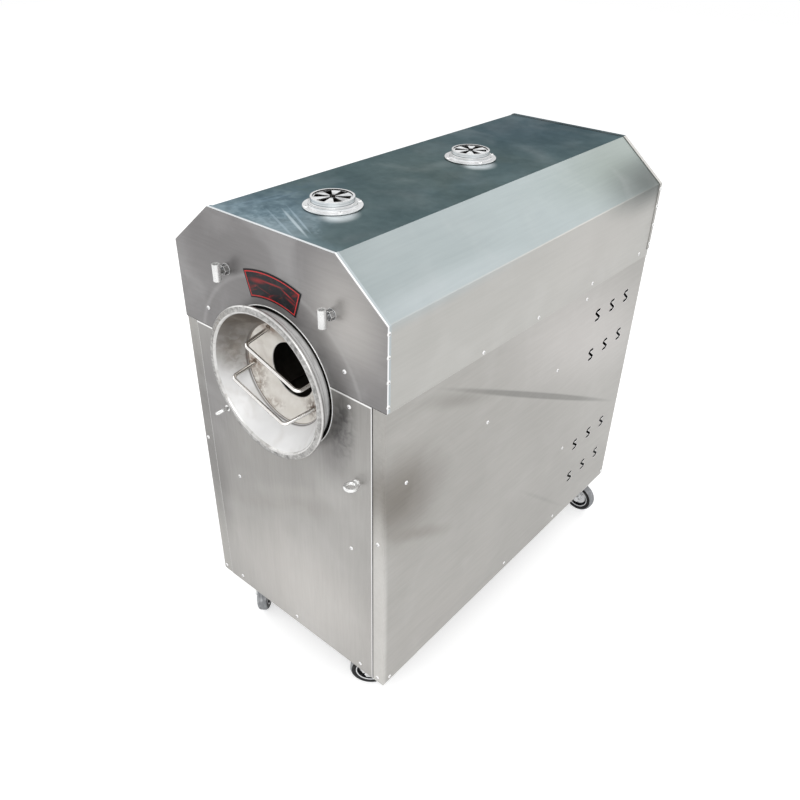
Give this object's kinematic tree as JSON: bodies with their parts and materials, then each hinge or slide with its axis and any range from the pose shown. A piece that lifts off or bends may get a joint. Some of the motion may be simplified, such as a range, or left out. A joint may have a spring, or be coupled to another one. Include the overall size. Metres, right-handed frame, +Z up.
{
  "type": "chestnut roasting machine",
  "caption": "Steel cabinet on swivel casters with a turning drum inside, a cast funnel mouth at the front, round roof vents with rotary shutters and a belt drive at the rear",
  "frame": {"origin": "on the floor, under the middle of the bounding box", "axes": "+Z up, -Y towards the front with the drum mouth, +X to the right of a person who faces the front from behind the machine"},
  "size_m": [0.626, 1.174, 1.2237],
  "materials": {
    "casing_steel": "satin rolled stainless sheet",
    "hood_steel": "satin rolled stainless sheet",
    "frame_steel": "grey primed square tube",
    "cast_mouth": "rough cast lip, turned funnel",
    "drum_steel": "heat stained rolled steel",
    "rod_steel": "bright drawn bar with heat tint at the welds",
    "chamber_steel": "dull heat stained sheet",
    "insulation": "ceramic fibre blanket",
    "element_sheath": "dark oxidised sheath",
    "bright_fittings": "turned bright steel",
    "zinc_fittings": "zinc plated",
    "badge_black": "satin black plate with a red line",
    "gear_casting": "die cast housing",
    "motor_paint": "blue grey enamel",
    "pulley_iron": "machined grey iron",
    "belt_rubber": "black rubber belt",
    "box_plastic": "grey moulded enclosure",
    "black_plastic": "black moulded plastic",
    "button_green": "green moulded plastic",
    "button_red": "red moulded plastic",
    "lamp_lens": "amber lens",
    "tyre_black": "black rubber tread",
    "hub_grey": "grey moulded hub"
  },
  "bodies": {
    "cabinet": {"frame_posts": "frame_steel", "frame_rails": "frame_steel", "side_panel_right": "casing_steel", "side_panel_left": "casing_steel", "front_panel": "casing_steel", "rear_panel": "casing_steel", "hood_skin": "hood_steel", "hood_front_plate": "casing_steel", "hood_rear_plate": "casing_steel", "bulkhead": "casing_steel", "chamber_shell": "chamber_steel", "chamber_insulation": "insulation", "heating_elements": "element_sheath", "heater_brackets": "chamber_steel", "roller_carrier": "zinc_fittings", "rear_bearing": "pulley_iron", "gearbox": "gear_casting", "motor": "motor_paint", "electrical_box": "box_plastic", "control_panel": "bright_fittings", "pilot_lamp": "lamp_lens", "cable_gland": "black_plastic", "badge_plate": "badge_black", "tool_sockets": "bright_fittings", "eye_bolts": "zinc_fittings", "panel_screws": "bright_fittings", "vent_collars": "hood_steel", "caster_plates": "zinc_fittings", "drive_belt": "belt_rubber"},
    "drum": {"drum_shell": "drum_steel", "mouth_funnel": "cast_mouth", "feed_cone": "drum_steel", "mouth_rods": "rod_steel", "drum_flights": "drum_steel", "drum_rear_plate": "drum_steel", "drum_shaft": "bright_fittings", "drum_pulley": "pulley_iron"},
    "small_pulley": {"motor_pulley": "pulley_iron"},
    "roller_a": {"roller_left": "bright_fittings"},
    "roller_b": {"roller_right": "bright_fittings"},
    "damper_front": {"vent_damper_front": "hood_steel"},
    "damper_rear": {"vent_damper_rear": "hood_steel"},
    "switch": {"main_switch": "black_plastic"},
    "thermostat": {"thermostat_knob": "black_plastic"},
    "start": {"start_button": "button_green"},
    "stop": {"stop_button": "button_red"},
    "fork_front_right": {"fork_front_right": "zinc_fittings"},
    "wheel_front_right": {"hub_front_right": "hub_grey", "tyre_front_right": "tyre_black"},
    "brake_right": {"brake_lever_right": "zinc_fittings"},
    "fork_front_left": {"fork_front_left": "zinc_fittings"},
    "wheel_front_left": {"hub_front_left": "hub_grey", "tyre_front_left": "tyre_black"},
    "brake_left": {"brake_lever_left": "zinc_fittings"},
    "fork_rear_right": {"fork_rear_right": "zinc_fittings"},
    "wheel_rear_right": {"hub_rear_right": "hub_grey", "tyre_rear_right": "tyre_black"},
    "fork_rear_left": {"fork_rear_left": "zinc_fittings"},
    "wheel_rear_left": {"hub_rear_left": "hub_grey", "tyre_rear_left": "tyre_black"}
  },
  "joints": [
    {"name": "drum_spin", "type": "hinge", "parent": "cabinet", "child": "drum", "pos_m": [0, -0.541, 0.879], "axis": [0, 1, 0], "continuous": true},
    {"name": "small_pulley_spin", "type": "hinge", "parent": "cabinet", "child": "small_pulley", "pos_m": [0, 0.264, 0.507], "axis": [0, 1, 0], "continuous": true},
    {"name": "roller_left_spin", "type": "hinge", "parent": "cabinet", "child": "roller_a", "pos_m": [-0.11188, -0.455, 0.66859], "axis": [0, 1, 0], "continuous": true},
    {"name": "roller_right_spin", "type": "hinge", "parent": "cabinet", "child": "roller_b", "pos_m": [0.11188, -0.455, 0.66859], "axis": [0, 1, 0], "continuous": true},
    {"name": "damper_front_turn", "type": "hinge", "parent": "cabinet", "child": "damper_front", "pos_m": [0, -0.3646, 1.2207], "axis": [0, 0, 1], "range_deg": [0, 30]},
    {"name": "damper_rear_turn", "type": "hinge", "parent": "cabinet", "child": "damper_rear", "pos_m": [0, 0.101, 1.2207], "axis": [0, 0, 1], "range_deg": [0, 30]},
    {"name": "main_switch_turn", "type": "hinge", "parent": "cabinet", "child": "switch", "pos_m": [-0.075, 0.561, 0.771], "axis": [0, 1, 0], "range_deg": [0, 90]},
    {"name": "thermostat_turn", "type": "hinge", "parent": "cabinet", "child": "thermostat", "pos_m": [-0.075, 0.561, 0.839], "axis": [0, 1, 0], "range_deg": [0, 270]},
    {"name": "start_press", "type": "slide", "parent": "cabinet", "child": "start", "axis": [0, -1, 0], "range_m": [0, 0.003], "stiffness_N_per_m": 300},
    {"name": "stop_press", "type": "slide", "parent": "cabinet", "child": "stop", "axis": [0, -1, 0], "range_m": [0, 0.003], "stiffness_N_per_m": 300},
    {"name": "swivel_front_right", "type": "hinge", "parent": "cabinet", "child": "fork_front_right", "pos_m": [0.225, -0.453, 0.114], "axis": [0, 0, 1], "continuous": true},
    {"name": "wheel_front_right_spin", "type": "hinge", "parent": "fork_front_right", "child": "wheel_front_right", "pos_m": [0.19426, -0.47534, 0.05], "axis": [0.5878, -0.809, 0], "continuous": true},
    {"name": "brake_right_press", "type": "hinge", "parent": "fork_front_right", "child": "brake_right", "pos_m": [0.18964, -0.45026, 0.09], "axis": [-0.809, -0.5878, 0], "range_deg": [0, 15]},
    {"name": "swivel_front_left", "type": "hinge", "parent": "cabinet", "child": "fork_front_left", "pos_m": [-0.225, -0.453, 0.114], "axis": [0, 0, 1], "continuous": true},
    {"name": "wheel_front_left_spin", "type": "hinge", "parent": "fork_front_left", "child": "wheel_front_left", "pos_m": [-0.20213, -0.48335, 0.05], "axis": [0.7986, 0.6018, 0], "continuous": true},
    {"name": "brake_left_press", "type": "hinge", "parent": "fork_front_left", "child": "brake_left", "pos_m": [-0.22712, -0.4884, 0.09], "axis": [0.6018, -0.7986, 0], "range_deg": [0, 15]},
    {"name": "swivel_rear_right", "type": "hinge", "parent": "cabinet", "child": "fork_rear_right", "pos_m": [0.225, 0.496, 0.114], "axis": [0, 0, 1], "continuous": true},
    {"name": "wheel_rear_right_spin", "type": "hinge", "parent": "fork_rear_right", "child": "wheel_rear_right", "pos_m": [0.263, 0.496, 0.05], "axis": [0, 1, 0], "continuous": true},
    {"name": "swivel_rear_left", "type": "hinge", "parent": "cabinet", "child": "fork_rear_left", "pos_m": [-0.225, 0.496, 0.114], "axis": [0, 0, 1], "continuous": true},
    {"name": "wheel_rear_left_spin", "type": "hinge", "parent": "fork_rear_left", "child": "wheel_rear_left", "pos_m": [-0.263, 0.496, 0.05], "axis": [0, -1, 0], "continuous": true}
  ],
  "couplings": [
    {"joint": "small_pulley_spin", "follows": "drum_spin", "ratio": 2.5881},
    {"joint": "roller_left_spin", "follows": "drum_spin", "ratio": -9.8182},
    {"joint": "roller_right_spin", "follows": "drum_spin", "ratio": -9.8182}
  ]
}
